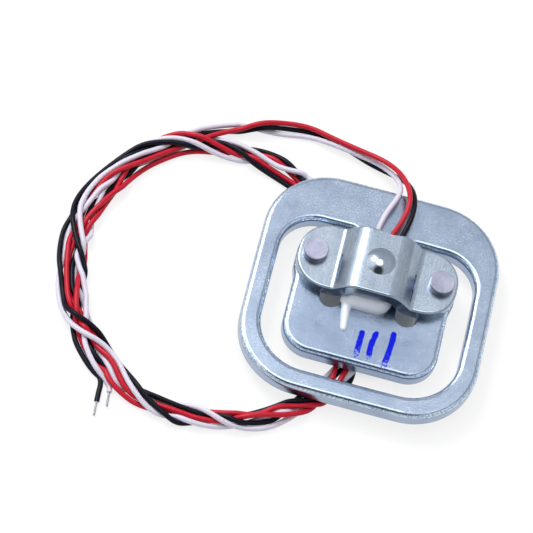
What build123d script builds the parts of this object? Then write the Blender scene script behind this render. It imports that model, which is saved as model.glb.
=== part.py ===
from build123d import *
import os
from math import cos, pi, radians, sin, tan

# Half-bridge strain gauge load cell of the kind used in flat scales, in millimetres.
# The origin is the crown of the load button, +Z is up and +Y points to the wide rear bar.
# The cell lies level on its own loosely coiled leads.

# Spring plate: one stamping with an outer ring, a bending beam and a tongue with two ears
ring_width = 34.0
ring_length = 34.0
ring_rear_y = 13.9
ring_corner = 9.6
side_crown = 0.18
plate_thickness = 2.5
side_bar = 2.9
front_bar = 3.1
rear_bar = 7.5
window_front_corner = 7.2
window_rear_corner = 5.2
ring_gap = 2.75
tongue_width = 22.1
tongue_corner = 4.3
ear_span = 23.0
ear_gap = 1.3
ear_corner = 4.1
waist_y = -3.0
waist_run = 1.6
waist_round = 2.5
beam_width = 7.7
slot_width = 3.1
slot_end_y = -5.1
slot_edge_break = 0.15
beam_root_round = 1.0
top_edge_round = 0.75
bottom_edge_round = 0.35

# Bridge bracket: a bent sheet that carries the load button over the beam
sheet = 1.9
bracket_length = 22.8
bracket_width = 9.9
bracket_corner = 4.5
arch_height = 4.2
arch_top_width = 6.6
arch_foot_width = 11.2
bend_round = 0.9
bracket_edge_round = 0.3
notch_width = 3.6
notch_depth = 0.4
notch_x = 0.7
mark_depth = 0.15
mark_width = 0.45
mark_inset = 0.3
left_mark = (-1.4, 4.0)
right_marks = ((0.0, 1.0), (-2.9, 1.9))

# Load button, raised out of the bracket's sheet
button_diameter = 4.15
button_height = 0.7
dimple_diameter = 3.0
dimple_depth = 0.5

# Rivets that clamp the bracket to the ears
rivet_span = 18.1
head_diameter = 3.45
head_height = 1.15
head_round = 0.2
shank_diameter = 2.2
foot_diameter = 3.2
foot_height = 0.6
rivet_clearance = 0.03

# Strain gauge on the beam, with its solder joints and sealant
gauge_width = 5.0
gauge_length = 6.6
gauge_y = -0.9
carrier_thickness = 0.1
foil_thickness = 0.06
grid_legs = 6
leg_pitch = 0.44
leg_width = 0.2
leg_length = 1.5
grid_spacing = 2.1
pad_size = 0.9
pad_pitch = 1.5
solder_width = 0.8
solder_height = 0.6
solder_round = 0.25
sealant_left_gap = 0.081623
sealant_right_gap = 0.181623
sealant_front = 5.9
sealant_height = 2.0
sealant_left_corner = 1.1
sealant_right_corner = 2.2
sealant_rear_corner = 0.85
sealant_edge_round = 0.8
sealant_rear_cover = 1.0
bead_inset = (0.2, 0.8)
bead_run = (0.2, -4.4)
bead_start_width = 1.4
bead_end_width = 0.6
bead_height = 0.5
bead_round = 0.25

# Three leads and the loose coil that they are wound into
lead_diameter = 0.75
wire_diameter = 0.35
tip_length = 2.2
coil_radius = 21.0
coil_centre = (-21.0, -4.8)
coil_width = 4.0
coil_layers = 2
layer_height = 0.8
coil_section_round = 0.5
crossing_start = 112.0
crossing_end = 225.0
lead_spacing = 0.8
last_run = 5.0
arrival_order = ("black", "red", "white")
tail_order = ("red", "white", "black")

# Levels and places that follow from the sizes above
arch_top_z = -button_height
plate_top_z = arch_top_z - arch_height
plate_bottom_z = plate_top_z - plate_thickness
floor_z = plate_bottom_z - coil_layers * layer_height
upper_lead_z = plate_bottom_z + lead_diameter / 2
ring_front_y = ring_rear_y - ring_length
window_front_y = ring_front_y + front_bar
window_rear_y = ring_rear_y - rear_bar
tongue_front_y = window_front_y + ring_gap
ear_rear_y = window_rear_y - ear_gap
slot_x = (beam_width + slot_width) / 2
gauge_top_z = plate_top_z + carrier_thickness
pad_y = gauge_y + gauge_length / 2 - pad_size
lead_start_y = pad_y + pad_size / 2
colours = ("white", "red", "black")
pad_x = {"white": -pad_pitch, "red": 0.0, "black": pad_pitch}


def crowned_face(width, front_y, rear_y, front_corner, rear_corner):
    # Rounded rectangle whose four sides bow outwards by the crown
    half = width / 2
    middle = (front_y + rear_y) / 2
    x_corner = half - side_crown
    y_front = front_y + side_crown
    y_rear = rear_y - side_crown
    sides = [
        ThreePointArc((-x_corner, y_front), (0, front_y), (x_corner, y_front)),
        ThreePointArc((x_corner, y_front), (half, middle), (x_corner, y_rear)),
        ThreePointArc((x_corner, y_rear), (0, rear_y), (-x_corner, y_rear)),
        ThreePointArc((-x_corner, y_rear), (-half, middle), (-x_corner, y_front)),
    ]
    face = make_face(Wire(sides))
    corners = face.vertices().sort_by(Axis.Y)
    face = fillet(corners[:2], front_corner)
    return fillet(pick_corners(face, x_corner, y_rear), rear_corner)


def pick_corners(face, x, y):
    # The pair of corners at plus and minus x
    return [v for v in face.vertices() if abs(abs(v.X) - x) < 1e-4 and abs(v.Y - y) < 1e-4]


def tongue_face():
    # Inner plate with a waist and two ears, before its slots are cut
    half = tongue_width / 2
    ear_half = ear_span / 2
    right_side = [
        (half, tongue_front_y),
        (half, waist_y),
        (ear_half, waist_y + waist_run),
        (ear_half, ear_rear_y),
    ]
    left_side = [(-x, y) for x, y in reversed(right_side)]
    face = make_face(Polyline(*right_side, *left_side, close=True))
    face = fillet(pick_corners(face, half, tongue_front_y), tongue_corner)
    face = fillet(pick_corners(face, ear_half, ear_rear_y), ear_corner)
    face = fillet(pick_corners(face, half, waist_y), waist_round)
    return fillet(pick_corners(face, ear_half, waist_y + waist_run), waist_round)


def slot_cutter(side):
    # Slot beside the beam, with a half-round front end and a fine bevel round its mouth
    rear_y = (ear_rear_y + window_rear_y) / 2
    straight = Rectangle(slot_width, rear_y - slot_end_y, align=(Align.CENTER, Align.MIN))
    face = Pos(side * slot_x, slot_end_y) * (straight + Circle(slot_width / 2))
    mouth = extrude(face, slot_edge_break, taper=-45)
    return extrude(face, plate_thickness) + Pos(0, 0, plate_thickness - slot_edge_break) * mouth


def rivet_places():
    return [Pos(side * rivet_span / 2, 0, 0) for side in (-1, 1)]


def spring_plate():
    outer = crowned_face(ring_width, ring_front_y, ring_rear_y, ring_corner, ring_corner)
    window_width = ring_width - 2 * side_bar
    window = crowned_face(
        window_width, window_front_y, window_rear_y, window_front_corner, window_rear_corner
    )
    beam_length = ring_rear_y - rear_bar / 2 - slot_end_y
    beam = Pos(0, slot_end_y) * Rectangle(beam_width, beam_length, align=(Align.CENTER, Align.MIN))
    blank = extrude(outer, plate_thickness) - extrude(window, plate_thickness)
    blank += extrude(tongue_face() + beam, plate_thickness)
    upright = blank.edges().filter_by(Axis.Z)
    roots = [e for e in upright if abs(abs(e.center().X) - beam_width / 2) < 1e-3]
    rear_roots = [e for e in roots if e.center().Y > window_rear_y - ear_gap / 2]
    blank = fillet(rear_roots, beam_root_round)
    blank = fillet(blank.edges().group_by(Axis.Z)[-1], top_edge_round)
    blank = fillet(blank.edges().group_by(Axis.Z)[0], bottom_edge_round)
    blank -= slot_cutter(-1) + slot_cutter(1)
    for place in rivet_places():
        blank -= place * rivet_hole(plate_thickness)
    return Pos(0, 0, plate_bottom_z) * blank


def rivet_hole(depth):
    # Hole with a countersink at its lower end, where the rivet is set flush
    radius = shank_diameter / 2 + rivet_clearance
    foot_radius = foot_diameter / 2 + rivet_clearance
    hole = extrude(Circle(radius), depth)
    return hole + Pos(0, 0, foot_height / 2) * Cone(foot_radius, radius, foot_height)


def bent_sheet_face():
    # Section of the sheet across the cell, with its lower side one sheet below the upper
    shift = sheet * tan(wall_slope() / 2)
    top = arch_height
    half = bracket_length / 2
    upper = [(half, sheet), (arch_foot_width / 2, sheet), (arch_top_width / 2, top)]
    lower = [
        (arch_top_width / 2 - shift, top - sheet),
        (arch_foot_width / 2 - shift, 0),
        (half, 0),
    ]
    points = upper + [(-x, z) for x, z in reversed(upper)]
    points += [(-x, z) for x, z in reversed(lower)] + lower
    face = make_face(Polyline(*points, close=True))
    inside = [(arch_foot_width / 2, sheet), (arch_top_width / 2 - shift, top - sheet)]
    outside = [(arch_top_width / 2, top), (arch_foot_width / 2 - shift, 0)]
    for x, z in inside:
        face = fillet(pick_corners(face, x, z), bend_round)
    for x, z in outside:
        face = fillet(pick_corners(face, x, z), bend_round + sheet)
    return face


def wall_slope():
    # Angle of the arch's side walls to the flanges
    rise = Vector((arch_foot_width - arch_top_width) / 2, 0, arch_height - sheet)
    return radians(rise.get_angle(Vector(1, 0, 0)))


def cap(base_diameter, height):
    # Spherical cap that stands on the XY plane
    base = base_diameter / 2
    ball = (base**2 + height**2) / (2 * height)
    block = Cylinder(base, height, align=(Align.CENTER, Align.CENTER, Align.MIN))
    return block & Pos(0, 0, height - ball) * Sphere(ball)


def bend_mark(x, y, length):
    # Dent that the forming tool leaves at the foot of a wall, sunk square to the wall
    slope = wall_slope()
    side = 1 if x > 0 else -1
    z = sheet + mark_inset * tan(slope)
    lean = Rot(0, side * (90 - slope * 180 / pi), 0)
    return Pos(x, y, z) * lean * Box(2 * mark_depth, length, mark_width)


def bridge_bracket():
    profile = Plane.XZ.offset(-bracket_width / 2) * bent_sheet_face()
    blank = extrude(profile, bracket_width)
    blank &= extrude(RectangleRounded(bracket_length, bracket_width, bracket_corner), arch_height)
    rims = [e for e in blank.edges() if is_upper_rim(e)]
    blank = fillet(rims, bracket_edge_round)
    notch_radius = ((notch_width / 2) ** 2 + notch_depth**2) / (2 * notch_depth)
    notch_y = bracket_width / 2 + notch_radius - notch_depth
    blank -= Pos(notch_x, notch_y, arch_height) * Cylinder(notch_radius, 2 * sheet)
    mark_x = arch_foot_width / 2 - mark_inset
    blank -= bend_mark(-mark_x, *left_mark)
    for right_mark in right_marks:
        blank -= bend_mark(mark_x, *right_mark)
    for place in rivet_places():
        blank -= place * extrude(Circle(shank_diameter / 2 + rivet_clearance), sheet)
    blank -= Pos(0, 0, arch_height - sheet) * cap(dimple_diameter, dimple_depth)
    blank += Pos(0, 0, arch_height) * cap(button_diameter, button_height)
    return Pos(0, 0, plate_top_z) * blank


def is_upper_rim(edge):
    # Edge between the upper side of the sheet and its cut edge
    middle = edge @ 0.5
    across = abs((edge @ 1 - edge @ 0).X) > 1e-3
    at_end = abs(middle.X) > arch_foot_width / 2 + bend_round
    upper = middle.Z > upper_line(abs(middle.X)) - sheet / 4
    return upper and (across or at_end)


def upper_line(x):
    # Height of the sheet's upper side at a distance from the middle
    foot = arch_foot_width / 2
    top = arch_top_width / 2
    if x >= foot:
        return sheet
    if x <= top:
        return arch_height
    return sheet + (arch_height - sheet) * (foot - x) / (foot - top)


def rivet():
    # Flat head, swelled shank and a foot set flush in the countersink
    seat_z = plate_top_z + sheet
    head = Cylinder(head_diameter / 2, head_height, align=(Align.CENTER, Align.CENTER, Align.MIN))
    head = fillet(head.edges().group_by(Axis.Z)[-1], head_round)
    shank_length = seat_z - plate_bottom_z
    shank = Cylinder(shank_diameter / 2, shank_length, align=(Align.CENTER, Align.CENTER, Align.MAX))
    foot = Cone(foot_diameter / 2, shank_diameter / 2, foot_height)
    foot = Pos(0, 0, foot_height / 2 - shank_length) * foot
    return Pos(0, 0, seat_z) * (head + shank + foot)


def gauge_carrier():
    face = Pos(0, gauge_y) * RectangleRounded(gauge_width, gauge_length, pad_size / 3)
    return Pos(0, 0, plate_top_z) * extrude(face, carrier_thickness)


def strip(x0, y0, x1, y1):
    # Straight foil track from one point to another along X or Y, square at its ends
    width = abs(x1 - x0) + leg_width
    length = abs(y1 - y0) + leg_width
    return Pos((x0 + x1) / 2, (y0 + y1) / 2) * Rectangle(width, length)


def foil_grid(middle_y):
    # Serpentine whose legs run along the beam
    first_x = -leg_pitch * (grid_legs - 1) / 2
    low = middle_y - leg_length / 2
    high = middle_y + leg_length / 2
    tracks = []
    for leg in range(grid_legs):
        x = first_x + leg * leg_pitch
        tracks.append(strip(x, low, x, high))
        if leg + 1 < grid_legs:
            turn_y = high if leg % 2 == 0 else low
            tracks.append(strip(x, turn_y, x + leg_pitch, turn_y))
    return tracks


def gauge_foil():
    # Two grids in one foil: their common end goes to the middle pad, the others to the outer pads
    front = gauge_y - gauge_length / 2 + pad_size + leg_length / 2
    rear = front + grid_spacing
    edge = leg_pitch * (grid_legs - 1) / 2
    lane = pad_pitch + leg_width
    low_front = front - leg_length / 2
    low_rear = rear - leg_length / 2
    high_rear = rear + leg_length / 2
    tracks = foil_grid(front) + foil_grid(rear)
    tracks += [strip(-lane, low_front, -edge, low_front), strip(-lane, low_front, -lane, pad_y)]
    tracks += [strip(edge, low_front, edge, low_rear), strip(lane, low_rear, edge, low_rear)]
    tracks += [strip(lane, low_rear, lane, pad_y)]
    tracks += [strip(-edge, low_rear, -edge, high_rear), strip(-edge, high_rear, -edge, pad_y)]
    tracks += [strip(-edge, pad_y - pad_size / 2, 0, pad_y - pad_size / 2)]
    for x in pad_x.values():
        tracks.append(Pos(x, pad_y) * Rectangle(pad_size, pad_size))
    face = tracks[0]
    for track in tracks[1:]:
        face += track
    return Pos(0, 0, gauge_top_z) * extrude(face, foil_thickness)


def solder_joint(colour):
    # Drop of solder on its pad, with a flat face against the end of its lead
    drop = Box(solder_width, solder_width, solder_height, align=(Align.CENTER, Align.MAX, Align.MIN))
    rear = drop.edges().group_by(Axis.Y)[-1]
    upper = [e for e in drop.edges() if e not in rear and e.center().Z > solder_height / 4]
    drop = fillet(upper, solder_round)
    return Pos(pad_x[colour], lead_start_y, gauge_top_z + foil_thickness) * drop


def start_z():
    # Height of a lead's middle where it rests on the gauge's carrier
    return gauge_top_z + lead_diameter / 2


def arc_place(radius, angle):
    # Point on a circle about the middle of the coil
    x0, y0 = coil_centre
    return x0 + radius * cos(radians(angle)), y0 + radius * sin(radians(angle))


def lane_radius(place):
    # The third layer holds three leads side by side: place 0 is the inner one, 2 the outer one
    return coil_radius + (place - 0.65) * lead_spacing


def arrival(colour):
    # Last two points of a lead: it comes in square to the end face of the coil's upper layer
    x, y = arc_place(lane_radius(arrival_order.index(colour)), crossing_start)
    back_x = x + last_run * sin(radians(crossing_start))
    back_y = y - last_run * cos(radians(crossing_start))
    return [(back_x, back_y, upper_lead_z + 0.2), (x, y, upper_lead_z)]


def lead_route(colour):
    rest_z = floor_z + lead_diameter / 2
    start = (pad_x[colour], lead_start_y, start_z())
    over_plate = plate_top_z + lead_diameter / 2
    middle = {
        "white": [
            (-1.5, 4.8, over_plate + 0.5),
            (-0.5, 8.6, over_plate + 1.5),
            (0.6, 12.2, over_plate + 1.7),
            (-0.4, 15.8, over_plate + 0.2),
            (-4.2, 18.8, rest_z + 1.8),
            (-9.0, 21.7, rest_z + 0.2),
            (-14.2, 23.2, rest_z + 0.1),
            (-19.4, 21.7, rest_z + 1.6),
        ],
        "red": [
            (0.2, 4.8, over_plate + 0.6),
            (1.6, 8.4, over_plate + 1.6),
            (2.1, 12.0, over_plate + 1.8),
            (1.0, 15.8, over_plate + 1.0),
            (-3.0, 18.9, rest_z + 3.9),
            (-8.5, 20.6, rest_z + 1.3),
            (-14.0, 22.1, rest_z + 0.1),
            (-19.1, 20.5, rest_z + 1.8),
        ],
        "black": [
            (1.7, 4.8, over_plate + 0.5),
            (2.9, 8.6, over_plate + 1.5),
            (3.3, 12.2, over_plate + 1.6),
            (2.2, 16.2, over_plate - 0.2),
            (-2.4, 18.6, rest_z + 0.3),
            (-8.2, 19.4, rest_z),
            (-13.7, 21.0, rest_z + 0.1),
            (-18.7, 19.4, rest_z + 1.9),
        ],
    }
    return [start] + middle[colour] + arrival(colour)


def tail_route(colour):
    # Cut end of a lead, from the coil's upper layer out to where it lies
    rest_z = floor_z + lead_diameter / 2
    x, y = arc_place(lane_radius(tail_order.index(colour)), crossing_end)
    start = (x, y, upper_lead_z)
    ends = {
        "white": [
            (-33.9, -22.2, upper_lead_z + 0.1),
            (-32.3, -24.1, upper_lead_z + 0.1),
            (-31.5, -26.2, upper_lead_z - 0.1),
        ],
        "red": [
            (-33.1, -21.1, upper_lead_z + 0.1),
            (-30.8, -22.6, upper_lead_z + 0.1),
            (-28.4, -23.7, upper_lead_z + 0.05),
        ],
        "black": [
            (-35.1, -22.7, upper_lead_z + 0.1),
            (-33.7, -24.9, upper_lead_z - 0.4),
            (-33.0, -27.1, rest_z + 0.3),
            (-32.8, -29.2, rest_z + 0.1),
        ],
    }
    return [start] + ends[colour]


def route_radii(points):
    # Radius at each inner point: 0.45 of the shorter run over the tangent of half the turn
    radii = []
    for before, here, after in zip(points, points[1:], points[2:]):
        run_in = Vector(*here) - Vector(*before)
        run_out = Vector(*after) - Vector(*here)
        half_turn = radians(run_in.get_angle(run_out)) / 2
        radii.append(0.45 * min(run_in.length, run_out.length) / tan(half_turn))
    return radii


def tube(name, points):
    # Round tube along straight runs that are joined by tangent arcs
    radii = route_radii(points)
    path = FilletPolyline(*points, radius=radii)
    section = Plane(origin=path @ 0, z_dir=path % 0) * Circle(lead_diameter / 2)
    body = sweep(section, path=path)
    share = body.volume / (pi * lead_diameter**2 / 4 * path.length)
    print(name, "length", round(path.length, 1), "volume share", round(share, 4))
    print("  radii", [round(r, 1) for r in radii])
    return body


def coil_section(height):
    face = RectangleRounded(coil_width, height, coil_section_round)
    return Pos(coil_radius, height / 2) * face


def coil_ring(height, start, sweep_angle):
    # Stretch of the coil about its upright middle line
    face = Plane.XZ * coil_section(height)
    ring = revolve(face, Axis.Z, revolution_arc=sweep_angle)
    x0, y0 = coil_centre
    return Pos(x0, y0, floor_z) * Rot(0, 0, start) * ring


def lead_coil():
    # Two turns all the way round, and a third layer of leads on the side away from the cell
    low = coil_layers * layer_height
    high = low + layer_height
    return coil_ring(low, 0, 360) + coil_ring(high, crossing_start, crossing_end - crossing_start)


def tinned_tip(points):
    end = Vector(*points[-1])
    direction = end - Vector(*points[-2])
    plane = Plane(origin=end, z_dir=direction)
    return plane * Cylinder(wire_diameter / 2, tip_length, align=(Align.CENTER, Align.CENTER, Align.MIN))


def sealant_side(gap):
    # Half width of the mound: its rounded edge stays a gap short of the arch's leaning wall
    slope = wall_slope()
    wall_foot = arch_foot_width / 2 - sheet * tan(slope / 2)
    shoulder = sealant_height - sealant_edge_round
    lean = (sealant_edge_round + shoulder * cos(slope)) / sin(slope) - sealant_edge_round
    return wall_foot - lean - gap


def sealant_mound():
    left = -sealant_side(sealant_left_gap)
    right = sealant_side(sealant_right_gap)
    rear_y = lead_start_y + sealant_rear_cover
    outline = [(right, rear_y), (right, -sealant_front), (left, -sealant_front), (left, rear_y)]
    face = make_face(Polyline(*outline, close=True))
    front = face.vertices().group_by(Axis.Y)[0].sort_by(Axis.X)
    face = fillet(front[0], sealant_left_corner)
    face = fillet(face.vertices().group_by(Axis.Y)[0].sort_by(Axis.X)[-1], sealant_right_corner)
    face = fillet(face.vertices().group_by(Axis.Y)[-1], sealant_rear_corner)
    mound = extrude(face, sealant_height)
    return fillet(mound.edges().group_by(Axis.Z)[-1], sealant_edge_round)


def sealant_bead():
    # Drawn off the mound with the nozzle, and thinner towards its end
    x = bead_inset[0] - sealant_side(sealant_left_gap)
    y = bead_inset[1] - sealant_front
    start = Pos(x, y) * Circle(bead_start_width / 2)
    end = Pos(x + bead_run[0], y + bead_run[1]) * Circle(bead_end_width / 2)
    bead = extrude(make_hull([*start.edges(), *end.edges()]), bead_height)
    return fillet(bead.edges().group_by(Axis.Z)[-1], bead_round)


def sealant(inner_pieces):
    # Silicone mound over the gauge, with the bead that was drawn off it at the front left
    body = Pos(0, 0, plate_top_z) * (sealant_mound() + sealant_bead())
    for piece in inner_pieces:
        body -= piece
    return body


def write(shape, name):
    shape.label = name
    export_step(shape, "parts/" + name + ".step")


def main():
    os.makedirs("parts", exist_ok=True)
    write(spring_plate(), "spring_plate")
    write(bridge_bracket(), "bridge_bracket")
    for name, place in zip(("rivet_left", "rivet_right"), rivet_places()):
        write(place * rivet(), name)
    inner = [gauge_carrier(), gauge_foil()]
    write(inner[0], "gauge_carrier")
    write(inner[1], "gauge_foil")
    for colour in colours:
        joint = solder_joint(colour)
        lead = tube(colour + "_lead", lead_route(colour))
        tail_points = tail_route(colour)
        write(joint, colour + "_solder_joint")
        write(lead, colour + "_lead")
        write(tube(colour + "_tail", tail_points), colour + "_tail")
        write(tinned_tip(tail_points), colour + "_tip")
        inner += [joint, lead]
    write(sealant(inner), "sealant")
    write(lead_coil(), "lead_coil")


main()
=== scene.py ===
from math import cos, pi, radians, sin
import bmesh
import bpy
import numpy as np
from mathutils import Matrix, Vector


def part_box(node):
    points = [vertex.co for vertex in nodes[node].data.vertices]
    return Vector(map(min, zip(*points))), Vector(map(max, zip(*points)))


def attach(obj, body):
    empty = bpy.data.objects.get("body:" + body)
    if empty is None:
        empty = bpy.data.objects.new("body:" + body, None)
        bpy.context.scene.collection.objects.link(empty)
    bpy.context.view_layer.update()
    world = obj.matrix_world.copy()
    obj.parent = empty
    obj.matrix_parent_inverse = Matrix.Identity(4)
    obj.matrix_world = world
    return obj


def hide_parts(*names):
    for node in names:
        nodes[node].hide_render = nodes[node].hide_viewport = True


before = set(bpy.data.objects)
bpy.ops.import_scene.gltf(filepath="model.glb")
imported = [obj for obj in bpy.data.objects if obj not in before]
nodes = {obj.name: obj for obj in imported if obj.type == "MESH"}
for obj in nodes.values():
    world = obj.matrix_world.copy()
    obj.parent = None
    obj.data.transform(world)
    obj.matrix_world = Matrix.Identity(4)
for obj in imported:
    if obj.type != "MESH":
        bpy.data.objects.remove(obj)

# Flat half-bridge load cell that lies on its own loosely coiled leads.
# The script works in metres, and sizes below are in millimetres where they are times mm.
mm = 0.001
scene = bpy.context.scene
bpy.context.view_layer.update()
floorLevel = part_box("lead_coil")[0].z
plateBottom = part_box("spring_plate")[0].z
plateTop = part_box("spring_plate")[1].z
print("frame loaded:", len(nodes), "nodes")


def linked(name, data):
    # A new object in the scene for this mesh, curve, camera or lamp
    item = bpy.data.objects.new(name, data)
    scene.collection.objects.link(item)
    return item


def pieceOf(shape, name):
    # A new object from a finished bmesh
    mesh = bpy.data.meshes.new(name)
    shape.to_mesh(mesh)
    shape.free()
    return linked(name, mesh)


def shownMesh(item):
    # The mesh of a curve, or of a piece with its modifiers applied
    item.update_tag()
    bpy.context.view_layer.update()
    return bpy.data.meshes.new_from_object(item.evaluated_get(bpy.context.evaluated_depsgraph_get()))


# Camera: it looks down from the front and is turned about its own axis, as the photograph was
view = {
    "place": (-18.82, -179.48, 323.85),
    "turn": 1.219,
    "elevation": 61.792,
    "roll": 16.121,
    "lens": 181.56,
    "sensor": 36.0,
    "clip": (0.01, 20),
}


def placeCamera():
    lens = bpy.data.cameras.new("photoLens")
    lens.lens = view["lens"]
    lens.sensor_width = view["sensor"]
    lens.clip_start, lens.clip_end = view["clip"]
    camera = linked("photoCamera", lens)
    moved = Matrix.Translation([v * mm for v in view["place"]])
    turned = Matrix.Rotation(radians(-view["turn"]), 4, "Z")
    tilted = Matrix.Rotation(radians(90 - view["elevation"]), 4, "X")
    rolled = Matrix.Rotation(radians(view["roll"]), 4, "Z")
    camera.matrix_world = moved @ turned @ tilted @ rolled
    scene.camera = camera


placeCamera()
print("camera placed")

# The three wires. Each goes from the gauge over the rear bar, round the coil and out to its cut end.
coil = {
    "middle": (-21.0, -4.8),
    "radius": 21.0,
    "wire": 0.75,
    "gap": 0.03,
    "layer": 0.78,
    "firstAngle": 96,
    "lastAngle": 956,
    "step": 2,
    "coverStart": 308,  # from here to coverEnd the coil lies under the cell
    "coverEnd": 428,
    "sides": 14,
    "length": 0.37,  # real length of each, in metres
}

# How the coil comes to rest. Shares are of the turns or of what is wanted, lengths in millimetres.
settling = {
    "turns": 1000,
    "early": 0.3,  # up to here the wires keep near the heights of their keys
    "late": 0.85,  # from here on they only part and smooth out
    "smooth": 0.4,
    "lateSmooth": 0.1,
    "holdOffset": 0.10,
    "holdHeight": 0.3,
    "sink": 0.02,
    "openHeight": 9.0,
    "ordered": 0.3,  # keys that differ by this in height say which wire is on top
    "orderReach": 0.8,
    "orderLift": 0.2,
    "sideways": 0.06,
}

# Points of each lead from the gauge to the coil, as placed on the cell
leadPoints = {
    "white": [
        (-1.5, 1.95, -4.425), (-1.5, 4.8, -4.1), (-0.9, 8.8, -3.1), (0.7, 12.6, -3.1), (0.3, 16.0, -5.6),
        (-2.3, 18.9, -7.5), (-6.2, 19.8, -7.7), (-9.6, 20.4, -7.85), (-13.6, 21.2, -8.62),
        (-18.4, 20.1, -8.62),
    ],
    "red": [
        (0.0, 1.95, -4.425), (0.2, 4.8, -4.0), (1.8, 8.2, -2.9), (2.3, 12.0, -2.4), (0.7, 16.0, -4.0),
        (-2.1, 19.0, -6.2), (-6.2, 20.1, -6.9), (-10.2, 21.1, -7.4), (-14.2, 22.3, -7.8), (-18.4, 21.5, -7.5),
        (-21.2, 20.0, -6.5),
    ],
    "black": [
        (1.5, 1.95, -4.425), (1.7, 4.8, -4.1), (2.9, 8.6, -3.2), (3.0, 12.4, -3.3), (1.6, 15.9, -5.2),
        (-1.2, 18.5, -8.4), (-4.6, 19.4, -8.62), (-8.4, 20.9, -8.62), (-12.6, 22.1, -8.62),
        (-17.2, 21.4, -8.5), (-20.3, 20.0, -7.3),
    ],
}

# Points of each cut end, after the coil
tailPoints = {
    "white": [(-32.45, -24.5, -8.5), (-31.8, -25.1, -8.62), (-31.4, -25.6, -8.62), (-31.35, -26.2, -8.62)],
    "red": [(-31.35, -22.7, -8.62), (-30.3, -23.4, -8.62), (-29.1, -23.95, -8.62)],
    "black": [(-33.1, -24.4, -8.62), (-32.75, -25.4, -8.62), (-32.75, -26.6, -8.62), (-32.65, -28.0, -8.6)],
}

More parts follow.
